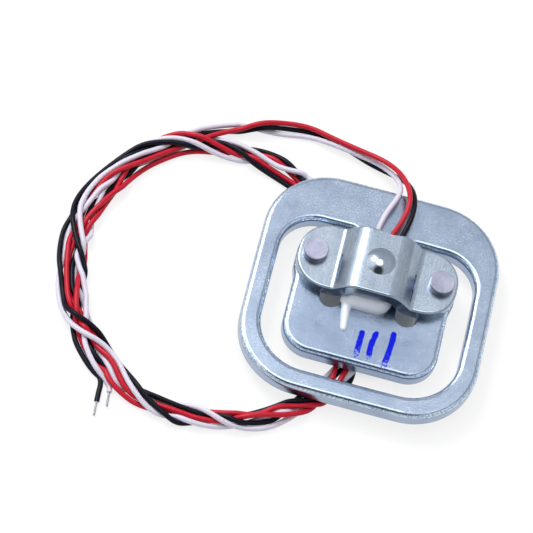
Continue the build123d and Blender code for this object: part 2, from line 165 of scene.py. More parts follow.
# How each wire weaves through the coil: degrees round it, millimetres outwards from its middle line,
# and the layer it starts in
weaveKeys = {
    "white": [
        (96, 4.1, 0), (100, 3.7, 0.3), (104, 3.2, 1), (109, 2.6, 1.6), (114, 1.9, 1.6), (118, 1.1, 1.4),
        (123, 0.2, 2.2), (132, 0.2, 2.4), (140, 0.5, 2.6), (149, 0.8, 2.7), (156, 1.3, 2.8),
        (162, 1.7, 2.8), (167, 1.6, 2.8), (171, 0.9, 2.8), (175, -0.4, 2.8), (179, -1.4, 2.4),
        (185, -2.0, 1.6), (190, -1.6, 1), (196, -0.9, 2.2), (203, -0.9, 2.2), (210, -0.7, 1.4),
        (218, -0.5, 0.4), (225, -0.3, 0.9), (229, 0, 1.4), (234, 0.4, 1.4), (239, 0.9, 1.3),
        (248, 0.6, 0.6), (256, 0.1, 0.8), (262, -0.2, 1.6), (268, -0.3, 2), (272, -0.9, 1.8),
        (276, -1.0, 1.8), (280, -0.5, 2), (283, 0.6, 2.2), (287, 1.5, 2), (290, 2.4, 1.4), (294, 3.0, 1),
        (297, 3.1, 1), (301, 2.4, 1), (305, 1.7, 0.8), (312, 1.0, 0), (318, 0.7, 0), (323, 1.0, 0),
        (326, 1.4, 0), (329, 1.9, 0.4), (332, 2.5, 1), (345, 1.9, 1), (358, 1.8, 0.6), (371, 1.6, 0),
        (384, 1.6, 0), (397, 1.2, 0), (410, 0.4, 0), (418, 0, 0.2), (425, -0.2, 0.5), (431, 0.1, 1),
        (438, 0.2, 0.8), (442, 0.1, 0.6), (446, -0.8, 0.3), (450, -1.8, 0.2), (455, -2.4, 0.2),
        (462, -2.4, 0.6), (468, -1.7, 1.2), (472, -0.8, 1.8), (475, 0.3, 2.2), (480, 1.4, 2.4),
        (486, 2.0, 1.8), (489, 2.1, 1.2), (495, 1.6, 0.4), (502, 0.6, 0.6), (509, -0.6, 1.8),
        (515, -0.6, 2.2), (520, -0.4, 2.2), (526, 0, 2), (530, 0.2, 1.8), (537, 0.6, 1.8), (542, 0.4, 1.8),
        (549, 0.8, 1.2), (556, 1.0, 0.3), (563, 1.1, 0), (568, 1.6, 0.2), (572, 2.1, 1.4), (575, 2.1, 2.8),
        (578, 0.9, 3.2), (582, -0.4, 3.2), (585, -1.2, 3), (591, -1.5, 2.6), (596, -1.1, 2.6),
        (600, -0.7, 2.8), (605, -0.6, 3), (608, 0, 3.2), (611, 1.3, 3), (614, 2.1, 2.4), (617, 2.6, 1.6),
        (620, 2.6, 1.2), (623, 2.2, 1.2), (628, 1.8, 1), (635, 2.1, 0.5), (640, 2.0, 0.4), (645, 1.9, 0.2),
        (652, 1.6, 0), (658, 1, 0), (663, 0.7, 0.8), (672, 1.1, 1), (682, 0.4, 0), (696, -0.6, 0),
        (705, -0.7, 0.6), (714, -0.8, 1), (731, -0.9, 1), (744, -0.9, 0.6), (757, -0.7, 0),
        (764, -0.4, 0.4), (770, -0.5, 1), (778, -0.6, 1), (785, -1.0, 1.2), (794, -1.5, 1.6),
        (800, -1.4, 1.8), (806, -0.9, 2), (812, -0.4, 2.2), (816, 0.2, 2.2), (819, 1.0, 2), (823, 1.2, 1.4),
        (832, 1.2, 0.2), (845, 0.4, 0), (860, 0, 0), (875, -0.4, 0.3), (890, -1.2, 0.8), (900, -1.3, 1.4),
        (908, -1.2, 1.8), (914, -1.5, 1.8), (921, -1.5, 1.6), (930, -1.5, 1.2), (933, -1.5, 1),
        (937, -0.7, 1), (941, 0.4, 1), (945, 0.9, 1), (949, 1.2, 1), (954, 1.5, 1), (956, 1.55, 0.8),
        (960, 1.8, 0.1), (964, 2.2, 0), (966, 3, 0), (968, 4.4, 0),
    ],
    "red": [
        (96, 2.9, 1.0), (100, 2.2, 1.4), (104, 1.6, 2), (109, 1.1, 2.2), (113, 0.5, 1.8), (119, -0.1, 2.2),
        (128, -0.5, 2.2), (138, -0.5, 2.2), (144, -0.3, 2.2), (151, 0.2, 2.2), (158, 0.5, 2),
        (163, 0.7, 1.8), (168, 0.6, 1.4), (174, 0.3, 1.2), (181, 0.1, 1.9), (185, 0.2, 2.2),
        (190, 0.5, 2.4), (195, 0.8, 2.4), (201, 0.8, 2.4), (207, 0.6, 2.2), (212, 0.4, 2), (216, 0.2, 1.2),
        (222, -0.5, 1.2), (227, -0.7, 1.6), (232, -0.8, 1.6), (238, 0.1, 1.6), (245, 0.8, 1.6),
        (250, 1.3, 1), (256, 1.3, 0.6), (260, 1.1, 1), (267, 1.0, 1.3), (273, 1.3, 1.2), (278, 1.2, 1.2),
        (283, 1.0, 1.2), (289, 0.4, 1.6), (294, 0.5, 1.7), (300, 0.7, 1.7), (305, 1.4, 1.4), (309, 1.9, 1),
        (314, 2.0, 0.4), (320, 1.9, 0.2), (323, 1.5, 1), (326, 1.0, 1), (329, 0.6, 1), (333, -0.4, 1),
        (345, -1.3, 1), (358, -1.7, 1), (371, -1.8, 1), (384, -1.8, 1), (397, -1.7, 0.6), (410, -1.8, 0),
        (420, -1.9, 0.2), (432, -2.0, 1), (438, -2.1, 1), (444, -1.9, 1), (449, -1.5, 1.3),
        (454, -1.6, 1.3), (460, -1.3, 2), (466, -0.6, 2.8), (471, 0.6, 3), (475, 1.6, 2.6), (480, 2.2, 1.6),
        (483, 2.3, 1.2), (489, 1.6, 0.6), (495, 0.8, 0.3), (505, -0.6, 0.2), (512, -1.4, 0.8),
        (516, -1.7, 1.4), (519, -1.9, 1.6), (525, -1.8, 1.6), (532, -1.3, 1.6), (537, -1.1, 1.4),
        (544, -1.5, 0.8), (550, -1.8, 0.8), (555, -1.4, 1.7), (560, -1.4, 2.2), (564, -1.0, 2.4),
        (570, 0, 2.5), (574, 0.7, 1.8), (580, 0.6, 0.8), (588, 0.8, 0), (594, 1.2, 0.3), (599, 1.8, 1.1),
        (603, 2.2, 1.1), (608, 2.1, 0.8), (612, 2.2, 0.5), (618, 2.4, 0.2), (622, 1.8, 0), (627, 1, 0),
        (631, 0, 1.2), (636, -0.4, 1.4), (638, -1.0, 1.2), (643, -1.0, 1.2), (646, -0.2, 1.4),
        (649, 0.9, 1.2), (652, 1.8, 1), (655, 1.9, 0.8), (658, 1.6, 0.6), (662, 0.5, 1.2), (666, 0, 1.4),
        (670, 0, 1.4), (673, 0.8, 1.4), (676, 2.1, 1), (679, 3.2, 0.4), (685, 3.0, 0.3), (691, 2.0, 1),
        (696, 1.5, 1), (705, 1.0, 1), (718, 0.9, 0.8), (731, 0.8, 0.3), (744, 0.7, 0), (757, 0.4, 0),
        (770, -0.6, 0), (778, -0.9, 0.2), (785, -1.3, 0.6), (790, -1.7, 1), (793, -1.2, 1), (798, -0.6, 1),
        (803, -0.2, 1.1), (807, -0.3, 0.9), (813, -0.8, 0.4), (822, -1.2, 0.2), (835, -0.1, 0.2),
        (850, -0.4, 0.2), (858, -0.8, 1), (865, -1.0, 1.6), (870, -1.4, 1.7), (876, -1.3, 1.8),
        (882, -1.1, 1.8), (891, -0.5, 1.4), (900, -0.4, 1.0), (909, -0.3, 1.5), (913, 0.2, 1.8),
        (919, 0.3, 1.8), (924, 0.1, 1.6), (930, -0.3, 1.0), (938, -0.5, 1.0), (945, -0.4, 0.8),
        (953, -0.4, 0.2), (961, -0.3, 0), (968, -0.3, 0), (975, -0.3, 0),
    ],
    "black": [
        (96, 2.9, 0), (100, 2.7, 0.2), (104, 2.3, 0.6), (107, 2.1, 0.9), (112, 2.4, 1.1), (115, 2.2, 1.2),
        (119, 1.4, 1.3), (125, 0.6, 1.8), (131, 0.7, 1.9), (137, 0.9, 2.0), (142, 1.0, 2.0),
        (148, 1.2, 1.8), (156, 1.6, 1.2), (163, 1.8, 1.0), (170, 1.4, 1.2), (175, 1.2, 1.6),
        (180, 1.5, 1.6), (184, 1.5, 1.6), (190, 1.1, 1.6), (196, 0.8, 0.8), (203, 0.6, 0.6),
        (208, 1.0, 1.2), (210, 1.8, 2), (212, 1.9, 2.8), (215, 0.9, 3.2), (218, -0.6, 3), (222, -1.4, 2.4),
        (226, -1.8, 1.8), (229, -1.8, 1.4), (235, -1.4, 0.6), (244, -0.4, 0.6), (250, 0, 1), (253, 0.3, 2),
        (257, 0.8, 2.4), (260, 1.4, 2.4), (264, 1.9, 1.8), (267, 2.1, 1.2), (270, 1.8, 0.8), (276, 1.3, 0),
        (285, 0.6, 0), (295, 0, 0), (304, -0.2, 0.5), (311, 0, 1), (315, 0.4, 1.2), (318, 1.8, 1.2),
        (322, 3.0, 1), (326, 3.0, 0.5), (330, 2.8, 0), (338, 1.6, 0), (345, 1.2, 0), (358, 0.3, 0),
        (371, -0.7, 0), (384, -1.6, 0), (397, -2.3, 0), (410, -2.6, 0), (420, -2.7, 0.2), (428, -2.8, 0.6),
        (433, -3.0, 0.6), (438, -2.9, 0.8), (445, -2.5, 1.2), (451, -1.7, 1.7), (456, -0.7, 2.2),
        (460, 0.1, 2.4), (466, 0.6, 1.8), (472, 1.0, 0.9), (480, 1.0, 0.2), (492, 0.2, 0), (506, -0.6, 0),
        (520, -0.6, 0.4), (532, -0.6, 0.8), (537, -0.7, 1), (542, -0.7, 1.6), (549, -0.6, 2),
        (555, -0.4, 2.1), (562, -0.4, 2.1), (568, -0.3, 1.7), (572, -0.4, 1.0), (576, -0.4, 0.6),
        (581, -0.2, 0.6), (585, 0.3, 1.2), (590, 0.8, 1.6), (596, 1.1, 1.5), (600, 1.0, 0.8),
        (604, 0.5, 0.2), (608, 0, 0.6), (613, -0.1, 1.8), (615, -0.2, 2.5), (618, -0.4, 2.5),
        (624, -0.3, 2), (628, 0.1, 1.8), (632, 0.3, 1.8), (640, 0.4, 1.8), (645, 0.4, 1.8), (649, 1.5, 1.8),
        (652, 2.3, 1.5), (655, 2.6, 1.2), (659, 2.2, 0.9), (663, 1.7, 0.5), (670, 1, 0), (680, 0.2, 0),
        (690, 0.7, 0.4), (697, 0.5, 0.5), (705, 0.3, 0.8), (718, 0.1, 1), (731, 0, 0.8), (744, -0.1, 0.6),
        (757, -0.9, 1), (770, -1.4, 1), (782, -1.6, 1), (787, -1.5, 1), (790, -0.6, 1.3), (795, 0.1, 1.5),
        (801, 0.8, 1.5), (807, 0.6, 1.2), (813, 0.4, 0.8), (820, 0, 0.3), (826, -0.6, 0.8),
        (831, -1.0, 1.7), (838, -0.2, 2.4), (845, 1.1, 2.6), (852, 1.8, 2.3), (857, 1.7, 1.9),
        (862, 1.2, 1.8), (867, 1.2, 1.6), (873, 1.7, 1.4), (880, 2.1, 1.2), (885, 2.1, 1.6),
        (890, 1.9, 2.4), (894, 1.3, 3), (898, 0.1, 3.2), (902, -1.0, 3), (907, -1.9, 2.2), (913, -2.2, 1.8),
        (917, -2.0, 1.4), (921, -1.6, 1), (924, -1.2, 0.6), (929, -0.4, 0.2), (933, 0.4, 0), (938, 1.0, 0),
        (942, 1.2, 0), (946, 1.3, 0), (951, 1.5, 0), (956, 1.8, 0), (959.3, 2.3, 0), (961.3, 3.4, 0),
        (963, 5, 0),
    ],
}


def startWeave(colour):
    # Stations every few degrees, with the offset and height that the keys give there
    keys = np.array(weaveKeys[colour], float)
    angles = np.arange(coil["firstAngle"], keys[-1, 0] + 0.01, coil["step"])
    offset = np.interp(angles, keys[:, 0], keys[:, 1])
    height = np.interp(angles, keys[:, 0], keys[:, 2]) * coil["layer"]
    return angles, np.stack([offset, height], 1)


def stationPairs(angles, owner, wanted):
    # Stations at one bearing, their next ones along the wire, and how much higher the second is wanted
    bearing = np.round(angles % 360).astype(int)
    first, second = np.nonzero(np.triu(bearing[:, None] == bearing[None, :], 1))
    following = np.minimum(np.arange(len(angles)) + 1, len(angles) - 1)
    goesOn = np.roll(owner, -1) == owner
    over = wanted[second, 1] - wanted[first, 1]
    return first, second, following[first], following[second], goesOn[first] & goesOn[second], over


def partingMoves(lie, slope, pairs):
    # How each station moves so that wires lie a diameter apart, in the order of their keys
    first, second, afterFirst, afterSecond, joined, over = pairs
    reach = coil["wire"] + coil["gap"]
    sideways = settling["sideways"]
    apart = lie[second] - lie[first]
    ahead = lie[afterSecond] - lie[afterFirst]
    crossing = joined & (apart[:, 0] * ahead[:, 0] < 0)
    ordered = np.abs(over) > settling["ordered"]
    beside = np.abs(apart[:, 0]) < settling["orderReach"] * reach
    swapped = ordered & beside & (over * apart[:, 1] < 0)
    apart[swapped, 1] = settling["orderLift"] * np.sign(over[swapped])
    aside = np.where(apart[:, 0] < 0, -sideways, sideways)
    gap = np.maximum(np.hypot(apart[:, 0], apart[:, 1]), 1e-6)
    way = np.stack([apart[:, 0] + aside, apart[:, 1]], 1) / (gap + sideways)[:, None]
    lean = ((slope[first] + slope[second]) / 2 * way).sum(1)
    push = way * (np.maximum(reach * np.sqrt(1 + lean ** 2) - gap, 0) / 2)[:, None]
    moves = np.zeros_like(lie)
    np.add.at(moves, first, -push)
    np.add.at(moves, second, push)
    # Where two wires cross between stations, one goes over the other there
    share = apart[:, 0] / np.where(crossing, apart[:, 0] - ahead[:, 0], 1)
    rise = apart[:, 1] + share * (ahead[:, 1] - apart[:, 1])
    up = np.where(ordered, np.sign(over), np.where(rise < 0, -1, 1))
    lift = np.where(crossing, np.maximum(reach - up * rise, 0) * up / 2, 0) / 2
    for stations, signed in ((first, -lift), (afterFirst, -lift), (second, lift), (afterSecond, lift)):
        np.add.at(moves[:, 1], stations, signed)
    return moves


def settleWires():
    # Wires are pushed a diameter apart and sink until they lie on each other or on the floor
    parts = [startWeave(colour) for colour in weaveKeys]
    angles = np.concatenate([a for a, _ in parts])
    owner = np.concatenate([np.full(len(a), i) for i, (a, _) in enumerate(parts)])
    wanted = np.concatenate([w for _, w in parts])
    pairs = stationPairs(angles, owner, wanted)
    free = (angles > coil["firstAngle"]) & (angles <= coil["lastAngle"])
    inner = np.nonzero(free & (np.roll(owner, 1) == owner) & (np.roll(owner, -1) == owner))[0]
    covered = (angles % 360 > coil["coverStart"]) | (angles % 360 < coil["coverEnd"] - 360)
    room = (plateBottom - floorLevel) / mm - coil["wire"] - coil["gap"]
    top = np.where(free & covered, room, settling["openHeight"])
    pitch = coil["radius"] * radians(coil["step"])
    lie = wanted.copy()
    for turn in range(settling["turns"]):
        early = turn < settling["turns"] * settling["early"]
        late = turn > settling["turns"] * settling["late"]
        slope = np.zeros_like(lie)
        slope[inner] = (lie[inner + 1] - lie[inner - 1]) / (2 * pitch)
        middle = (lie[inner - 1] + lie[inner + 1]) / 2
        lie[inner] += settling["lateSmooth" if late else "smooth"] * (middle - lie[inner])
        if not late:
            astray = wanted[inner] - lie[inner]
            lie[inner, 0] += settling["holdOffset"] * astray[:, 0]
            lie[inner, 1] += settling["holdHeight"] * astray[:, 1] if early else -settling["sink"]
        lie += partingMoves(lie, slope, pairs) * free[:, None]
        lie[:, 1] = np.clip(lie[:, 1], 0, top)
    nearest = np.hypot(*(lie[pairs[1]] - lie[pairs[0]]).T).min()
    print("wires settled, nearest", round(float(nearest), 2), "mm between centres")
    settled = {}
    for i, colour in enumerate(weaveKeys):
        mine = (owner == i) & (angles <= coil["lastAngle"])
        around = np.radians(angles[mine])
        radius = coil["radius"] + lie[mine, 0]
        x = coil["middle"][0] + radius * np.cos(around)
        y = coil["middle"][1] + radius * np.sin(around)
        z = floorLevel / mm + coil["wire"] / 2 + lie[mine, 1]
        settled[colour] = list(zip(x.tolist(), y.tolist(), z.tolist()))
    return settled


tubeForm = {
    "order": 3,
    "resolution": 4,
    "merge": 0.005,  # of the diameter
    "sharp": 50,
}


def tubeAlong(name, points, diameter, sides):
    # A smooth tube whose middle line is the spline with these control points, and that line
    curve = bpy.data.curves.new(name + "Line", "CURVE")
    curve.dimensions = "3D"
    spline = curve.splines.new("NURBS")
    spline.points.add(len(points) - 1)
    for knot, place in zip(spline.points, points):
        knot.co = (*place, 1)
    spline.order_u = tubeForm["order"]
    spline.use_endpoint_u = True
    spline.resolution_u = tubeForm["resolution"]
    guide = linked(name + "Line", curve)
    line = [tuple(v.co) for v in shownMesh(guide).vertices]
    curve.bevel_depth = diameter / 2
    curve.bevel_resolution = sides // 2 - 2
    curve.use_fill_caps = True
    shape = bmesh.new()
    shape.from_mesh(shownMesh(guide))
    bpy.data.objects.remove(guide)
    bmesh.ops.remove_doubles(shape, verts=shape.verts, dist=diameter * tubeForm["merge"])
    bmesh.ops.recalc_face_normals(shape, faces=shape.faces)
    tube = pieceOf(shape, name)
    tube.data.set_sharp_from_angle(angle=radians(tubeForm["sharp"]))
    return tube, line


# Tinned strands twisted round a middle one at each cut end
strands = {
    "count": 6,
    "wire": 0.112,
    "ring": 0.116,
    "lay": 3.4,
    "length": 2.2,
    "points": 9,
    "sides": 8,
    "uneven": 0.07,
}


def bareStrands(colour, before, end):
    # The strands from the cut end of the insulation, in line with the wire
    before, end = Vector(before), Vector(end)
    forward = (end - before).normalized()
    side = forward.orthogonal().normalized()
    cross = forward.cross(side)
    shape = bmesh.new()
    for strand in range(strands["count"] + 1):
        ring = strands["ring"] if strand else 0
        length = strands["length"] - strands["uneven"] * (strand * 3 % 4)
        points = []
        for step in range(strands["points"]):
            along = length * step / (strands["points"] - 1)
            turn = 2 * pi * (strand / strands["count"] + along / strands["lay"])
            place = forward * along + side * (ring * cos(turn)) + cross * (ring * sin(turn))
            points.append(tuple(end + place * mm))
        part, _ = tubeAlong(colour + "_strand", points, strands["wire"] * mm, strands["sides"])
        shape.from_mesh(part.data)
        bpy.data.objects.remove(part)
    piece = pieceOf(shape, colour + "_strands")
    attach(piece, "root")
    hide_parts(colour + "_tip")
    return piece


def layWires():
    turns = settleWires()
    wires, tips = {}, []
    for colour in leadPoints:
        route = leadPoints[colour] + turns[colour] + tailPoints[colour]
        points = [tuple(v * mm for v in p) for p in route]
        wire, line = tubeAlong(colour + "_wire", points, coil["wire"] * mm, coil["sides"])
        length = sum((Vector(b) - Vector(a)).length for a, b in zip(line, line[1:]))
        print(colour, "wire,", round(length, 3), "m")
        tip = bareStrands(colour, points[-2], points[-1])
        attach(wire, "root")
        own = [colour + "_lead", colour + "_tail"] + (["lead_coil"] if colour == "red" else [])
        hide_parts(*own)
        wires[colour] = wire
        tips.append(tip)
    return wires, tips


wires, tips = layWires()
print("wires laid:", len(wires))

# Rivets: a flat pressed head with a crisp edge, a shank and a foot set flush below.
# Each profile gives radius and height, from the foot's underside and from the head's seat.
rivetForm = {
    "foot": ((0.0, 0.0), (1.56, 0.0), (1.6, 0.04), (1.1, 0.6)),
    "head": (
        (1.1, 0.0), (1.66, 0.0), (1.725, 0.08), (1.74, 0.55), (1.735, 1.04), (1.70, 1.12), (1.64, 1.15),
        (1.2, 1.14), (0.0, 1.13),
    ),
    "headHeight": 1.15,
    "steps": 64,
    "merge": 0.001,
    "sharp": 24,
}


def turnedRivet(side):
    low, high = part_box("rivet_" + side)
    middle = (low + high) / 2
    seat = high.z - rivetForm["headHeight"] * mm
    profile = [(r, low.z + z * mm) for r, z in rivetForm["foot"]]
    profile += [(r, seat + z * mm) for r, z in rivetForm["head"]]
    shape = bmesh.new()
    points = [shape.verts.new((middle.x + r * mm, middle.y, z)) for r, z in profile]
    lines = [shape.edges.new(pair) for pair in zip(points, points[1:])]
    bmesh.ops.spin(shape, geom=points + lines, cent=middle, axis=(0, 0, 1), angle=2 * pi,
                   steps=rivetForm["steps"], use_merge=True)
    bmesh.ops.remove_doubles(shape, verts=shape.verts, dist=rivetForm["merge"] * mm)
    bmesh.ops.recalc_face_normals(shape, faces=shape.faces)
    for face in shape.faces:
        face.smooth = True
    piece = pieceOf(shape, "turned_rivet_" + side)
    piece.data.set_sharp_from_angle(angle=radians(rivetForm["sharp"]))
    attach(piece, "root")
    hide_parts("rivet_" + side)
    return piece


rivets = [turnedRivet(side) for side in ("left", "right")]
print("rivets turned:", len(rivets))

# Silicone over the gauge: a soft mound with a bead that was drawn off it at the front left
mound = {
    "low": (-3.5, -6.1, -0.5),
    "high": (3.1, 2.95, 1.8),
    "corners": ((-1, -1, 0.9), (1, -1, 2.4), (-1, 1, 0.8), (1, 1, 0.8)),  # side in x, side in y, radius
    "cornerSteps": 8,
    "topRound": 1.6,
    "topSteps": 6,
    "beadStart": (-3.1, -5.2, 0),
    "beadEnd": (-2.68, -9.4, 0),
    "beadWidths": (0.72, 0.46),
    "shoulder": (-3.1, -5.0, 0),
    "shoulderRadius": 1.0,
    "round": (20, 12),
    "sink": 0.02,
    "voxel": 0.1,
    "smoothing": 7,
    "sharp": 60,
}


def onBeam(place):
    # A point given from the beam's top in millimetres
    return Vector(place) * mm + Vector((0, 0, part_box("gauge_carrier")[0].z))


def roundedBlock(shape):
    # The mound before it is softened, with each upright corner rounded by its own radius
    low = onBeam(mound["low"])
    high = onBeam(mound["high"])
    size = high - low
    middle = (low + high) / 2
    bmesh.ops.create_cube(shape, size=1, matrix=Matrix.Translation(middle) @ Matrix.Diagonal((*size, 1)))
    for sideX, sideY, radius in mound["corners"]:
        upright = [e for e in shape.edges if abs(e.verts[0].co.z - e.verts[1].co.z) > size.z / 2
                   and all((v.co.x - middle.x) * sideX > size.x * 0.49 for v in e.verts)
                   and all((v.co.y - middle.y) * sideY > size.y * 0.49 for v in e.verts)]
        bmesh.ops.bevel(shape, geom=upright, offset=radius * mm, affect="EDGES",
                        segments=mound["cornerSteps"], profile=0.5, material=-1)
    rim = [e for e in shape.edges if all(v.co.z > high.z - 0.01 * mm for v in e.verts)]
    bmesh.ops.bevel(shape, geom=rim, offset=mound["topRound"] * mm, affect="EDGES",
                    segments=mound["topSteps"], profile=0.5, material=-1)


def drawnBead(shape):
    # The bead tapers to a round end, and a shoulder joins it to the mound
    start = onBeam(mound["beadStart"])
    end = onBeam(mound["beadEnd"])
    wide, narrow = (width * mm for width in mound["beadWidths"])
    around, upwards = mound["round"]
    along = (end - start).to_track_quat("Z", "Y").to_matrix().to_4x4()
    bmesh.ops.create_cone(shape, cap_ends=True, segments=around, radius1=wide, radius2=narrow,
                          depth=(end - start).length, matrix=Matrix.Translation((start + end) / 2) @ along)
    for place, radius in ((end, narrow), (onBeam(mound["shoulder"]), mound["shoulderRadius"] * mm)):
        bmesh.ops.create_uvsphere(shape, u_segments=around, v_segments=upwards, radius=radius,
                                  matrix=Matrix.Translation(place))


def flatFoot(shape):
    # Cuts the softened mound off just above the beam, closes it and sets it down
    level = onBeam((0, 0, mound["sink"]))
    cut = bmesh.ops.bisect_plane(shape, geom=shape.verts[:] + shape.edges[:] + shape.faces[:],
                                 plane_co=level, plane_no=(0, 0, 1), clear_inner=True)
    rim = [e for e in cut["geom_cut"] if isinstance(e, bmesh.types.BMEdge)]
    base = bmesh.ops.contextual_create(shape, geom=rim)["faces"]
    bmesh.ops.translate(shape, verts=list({v for f in base for v in f.verts}),
                        vec=(0, 0, -mound["sink"] * mm))
    bmesh.ops.triangulate(shape, faces=base)
    bmesh.ops.recalc_face_normals(shape, faces=shape.faces)
    for face in shape.faces:
        face.smooth = abs(face.normal.z) < 0.999 or face.calc_center_median().z > level.z


def siliconeMound():
    shape = bmesh.new()
    roundedBlock(shape)
    drawnBead(shape)
    piece = pieceOf(shape, "silicone_mound")
    skin = piece.modifiers.new("skin", "REMESH")
    skin.mode = "VOXEL"
    skin.voxel_size = mound["voxel"] * mm
    piece.data = shownMesh(piece)
    piece.modifiers.clear()
    shape = bmesh.new()
    shape.from_mesh(piece.data)
    for _ in range(mound["smoothing"]):
        bmesh.ops.smooth_vert(shape, verts=shape.verts, factor=0.5, use_axis_x=True, use_axis_y=True,
                              use_axis_z=True)
    flatFoot(shape)
    shape.to_mesh(piece.data)
    shape.free()
    piece.data.set_sharp_from_angle(angle=radians(mound["sharp"]))
    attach(piece, "root")
    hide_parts("sealant")
    return piece


siliconePiece = siliconeMound()
print("silicone laid:", len(siliconePiece.data.polygons), "faces")


class Shade:
    # A socket's value in a material: sums of it add their Math nodes
    def __init__(self, tree, socket):
        self.tree = tree
        self.socket = socket

    def maths(self, operation, other, flipped=False):
        sides = (other, self) if flipped else (self, other)
        return self.tree.maths(operation, *sides)

    def __add__(self, other):
        return self.maths("ADD", other)

    def __radd__(self, other):
        return self.maths("ADD", other, True)

    def __sub__(self, other):
        return self.maths("SUBTRACT", other)

    def __rsub__(self, other):
        return self.maths("SUBTRACT", other, True)

    def __mul__(self, other):
        return self.maths("MULTIPLY", other)

    def __rmul__(self, other):
        return self.maths("MULTIPLY", other, True)


class Paint:
    # The nodes of one material, or of the world
    def __init__(self, owner, coordinate="Object"):
        self.owner = owner
        owner.use_nodes = True
        self.graph = owner.node_tree
        self.graph.nodes.clear()
        self.place = self.add("ShaderNodeTexCoord", out=coordinate)

    def add(self, kind, sockets=None, out=0, stops=None, **settings):
        node = self.graph.nodes.new(kind)
        for name, value in settings.items():
            setattr(node, name, value)
        if stops:
            for element, (at, level) in zip(node.color_ramp.elements, stops):
                element.position = at
                element.color = (level, level, level, 1)
        for name, value in (sockets or {}).items():
            if isinstance(value, Shade):
                self.graph.links.new(value.socket, node.inputs[name])
            else:
                node.inputs[name].default_value = value
        return Shade(self, node.outputs[out]) if node.outputs else None

    def noise(self, scale, detail, roughness, place=None):
        inputs = {"Vector": place or self.place, "Scale": scale, "Detail": detail, "Roughness": roughness}
        return self.add("ShaderNodeTexNoise", inputs)

    def maths(self, operation, first, second, **settings):
        return self.add("ShaderNodeMath", {0: first, 1: second}, operation=operation, **settings)

    def vector(self, operation, first, second=None, out=0):
        sockets = {0: first} if second is None else {0: first, 1: second}
        return self.add("ShaderNodeVectorMath", sockets, out=out, operation=operation)

    def height(self):
        return self.add("ShaderNodeSeparateXYZ", {0: self.place}, out=2)

    def span(self, value, given, wanted=(0, 1)):
        # Smooth change from one value to another as the first goes across a range
        sockets = {0: value, 1: given[0], 2: given[1], 3: wanted[0], 4: wanted[1]}
        return self.add("ShaderNodeMapRange", sockets, interpolation_type="SMOOTHSTEP")

    def ramp(self, value, stops):
        return self.add("ShaderNodeValToRGB", {0: value}, stops=stops)

    def mix(self, share, first, second, blend="MIX"):
        return self.add("ShaderNodeMix", {0: share, 6: first, 7: second}, out=2,
                        data_type="RGBA", blend_type=blend)

    def times(self, colour, other):
        return self.mix(1.0, colour, other, "MULTIPLY")

    def bump(self, height, strength, distance):
        return self.add("ShaderNodeBump", {"Height": height, "Strength": strength, "Distance": distance})

    def end(self, shader, kind="ShaderNodeOutputMaterial"):
        self.add(kind, {"Surface": shader})
        return self.owner

    def finish(self, **sockets):
        named = {name.replace("_", " "): value for name, value in sockets.items()}
        return self.end(self.add("ShaderNodeBsdfPrincipled", named))


def newPaint(name):
    return Paint(bpy.data.materials.new(name))


def dress(piece, material):
    piece.data.materials.clear()
    piece.data.materials.append(material)


def rgb(*shade):
    return (*shade, 1)


# Pen strokes across the tongue, each a run of points on the plate
ink = {
    "strokes": [
        [(0.00, -9.3), (-0.15, -12.9)],
        [(1.90, -8.9), (1.55, -10.9), (1.65, -12.7)],
        [(4.32, -8.3), (4.31, -9.75), (3.93, -13.4)],
    ],
    "halfWidth": 0.48,
    "solidPart": 0.75,
    "edge": (1800, 2, 0.6),  # noise values are scale, detail and roughness
    "waver": 0.30,
    "grain": (4200, 3, 0.7),
    "grainSpan": (0.22, 0.32),
    "dryness": 0.26,
    "heights": (-5.3, -5.1),
    "colour": rgb(0.006, 0.012, 0.50),
}


def nearStroke(paint, first, last):
    # Distance from the line between two points on the plate, and how far along it
    start = Vector((*first, 0)) * mm
    way = Vector((*last, 0)) * mm - start
    flat = paint.vector("MULTIPLY", paint.place, (1, 1, 0))
    apart = paint.vector("SUBTRACT", flat, start)
    share = paint.vector("DOT_PRODUCT", apart, way / way.length_squared, out=1)
    along = paint.maths("ADD", share, 0, use_clamp=True)
    foot = paint.add("ShaderNodeVectorMath", {0: way, "Scale": along}, operation="SCALE")
    return paint.vector("DISTANCE", apart, foot, out=1), along


def inkMask(paint):
    # Pen strokes that run dry towards their lower ends
    waver = (paint.noise(*ink["edge"]) - 0.5) * (ink["waver"] * mm)
    grain = paint.noise(*ink["grain"])
    width = (ink["halfWidth"] * mm, ink["halfWidth"] * ink["solidPart"] * mm)
    whole = None
    for stroke in ink["strokes"]:
        for first, last in zip(stroke, stroke[1:]):
            away, along = nearStroke(paint, first, last)
            part = paint.span(away + waver, width)
            if last == stroke[-1]:
                part = part * paint.span(grain - ink["dryness"] * along * along, ink["grainSpan"])
            whole = part if whole is None else paint.maths("MAXIMUM", whole, part)
    return whole * paint.span(paint.height(), [z * mm for z in ink["heights"]])


